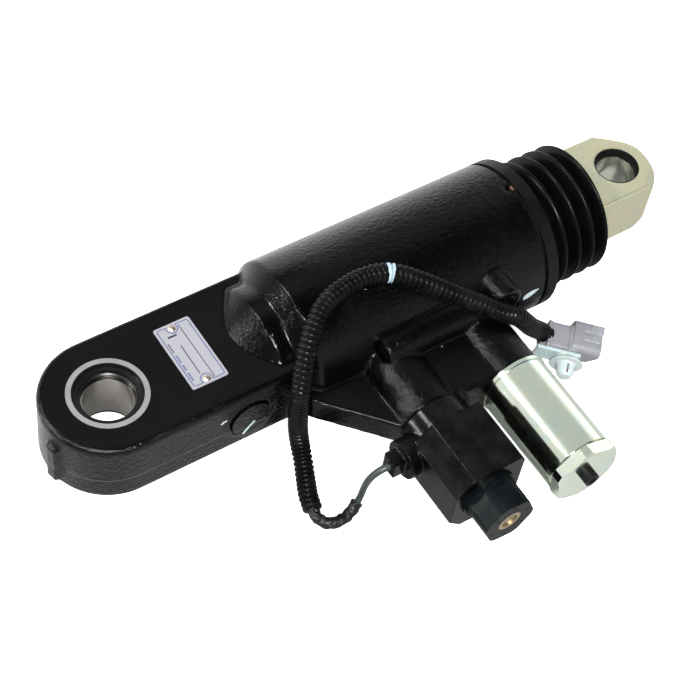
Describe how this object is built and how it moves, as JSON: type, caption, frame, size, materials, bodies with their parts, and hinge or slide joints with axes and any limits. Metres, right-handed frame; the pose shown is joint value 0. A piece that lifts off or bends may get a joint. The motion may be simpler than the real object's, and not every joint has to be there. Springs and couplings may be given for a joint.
{
  "type": "hydraulic cylinder",
  "caption": "Short double-acting hydraulic cylinder with a ball-bearing base eye, rod eye, rubber bellows, solenoid lock valve, spring accumulator and a wiring harness.",
  "frame": {"origin": "centre of the base eye's pin bore, at half the lug's thickness", "axes": "+X along the cylinder from the base eye to the rod eye, +Z along both eyes' pins, and the valve and the accumulator point to -Y"},
  "size_m": [0.3736, 0.1906, 0.0937],
  "materials": {
    "black_casting": "glossy black enamel over a cast surface",
    "black_gland": "satin black over a turned surface",
    "bright_steel": "ground",
    "dark_steel": "turned",
    "spring_steel": "drawn wire",
    "chrome": "hard chrome, ground",
    "zinc": "zinc plated with a pale yellow passivation",
    "black_oxide": "black oxide",
    "brass": "satin",
    "bronze": "satin",
    "copper": "satin",
    "nameplate": "satin, printed with plain lines",
    "seal_rubber": "smooth",
    "seal_plastic": "smooth",
    "bellows_rubber": "semi-gloss",
    "coil_plastic": "fine moulded texture",
    "nut_plastic": "smooth",
    "cable_jacket": "smooth",
    "tape": "wound vinyl tape",
    "conduit_plastic": "corrugated",
    "grey_plastic": "smooth",
    "white_plastic": "milky"
  },
  "bodies": {
    "cylinder_body": {"cylinder_casting": "black_casting", "base_eye_race": "bright_steel", "base_eye_seals": "seal_rubber", "nameplate": "nameplate", "nameplate_rivets": "brass", "lug_side_plug": "black_casting", "gallery_plug": "black_casting", "port_plug": "black_casting", "gland": "black_gland", "gland_o_ring": "seal_rubber", "gland_lock_pin": "copper", "gland_bush": "bronze", "rod_seal": "seal_plastic", "rod_wiper": "seal_rubber", "bellows": "bellows_rubber", "valve_cage": "dark_steel", "valve_spring": "spring_steel", "armature_tube": "brass", "pole_piece": "dark_steel", "solenoid_coil": "coil_plastic", "coil_o_rings": "seal_rubber", "coil_nut": "nut_plastic", "accumulator_seal": "zinc", "accumulator_shell": "zinc", "accumulator_spring": "spring_steel", "accumulator_cap": "zinc", "cap_o_ring": "seal_rubber", "set_screw": "black_oxide", "coil_lead": "cable_jacket", "tape_wrap": "tape", "conduit": "conduit_plastic", "connector_housing": "grey_plastic", "connector_terminals": "brass", "connector_seal": "seal_plastic", "harness_clip": "white_plastic"},
    "rod_body": {"piston_rod": "chrome", "rod_eye": "zinc", "rod_eye_bush": "bright_steel", "rod_eye_seals": "seal_rubber", "piston": "dark_steel", "piston_wear_rings": "seal_plastic", "piston_seal": "seal_plastic", "piston_nut": "dark_steel"},
    "eye_ball": {"base_eye_ball": "bright_steel"},
    "valve_plunger": {"armature": "dark_steel", "push_pin": "bright_steel", "valve_spool": "bright_steel"},
    "override_button": {"override_pin": "bright_steel"},
    "accumulator_ram": {"accumulator_piston": "dark_steel", "accumulator_piston_ring": "seal_rubber"}
  },
  "joints": [
    {"name": "rod_slide", "type": "slide", "parent": "cylinder_body", "child": "rod_body", "axis": [1, 0, 0], "range_m": [-0.016, 0.036], "deforming": ["bellows"]},
    {"name": "eye_ball_turn", "type": "hinge", "parent": "cylinder_body", "child": "eye_ball", "pos_m": [0, 0, 0], "axis": [0, 0, 1], "continuous": true},
    {"name": "override_push", "type": "slide", "parent": "cylinder_body", "child": "override_button", "axis": [0, 1, 0], "range_m": [0, 0.003], "stiffness_N_per_m": 200, "springref_m": -0.001},
    {"name": "plunger_slide", "type": "slide", "parent": "cylinder_body", "child": "valve_plunger", "axis": [0, 1, 0], "range_m": [0, 0.003], "stiffness_N_per_m": 1500, "springref_m": -0.001, "deforming": ["valve_spring"]},
    {"name": "accumulator_stroke", "type": "slide", "parent": "cylinder_body", "child": "accumulator_ram", "axis": [0, -1, 0], "range_m": [0, 0.014], "stiffness_N_per_m": 9000, "springref_m": -0.002, "deforming": ["accumulator_spring"]}
  ],
  "couplings": [
    {"joint": "plunger_slide", "follows": "override_push", "ratio": 1}
  ]
}
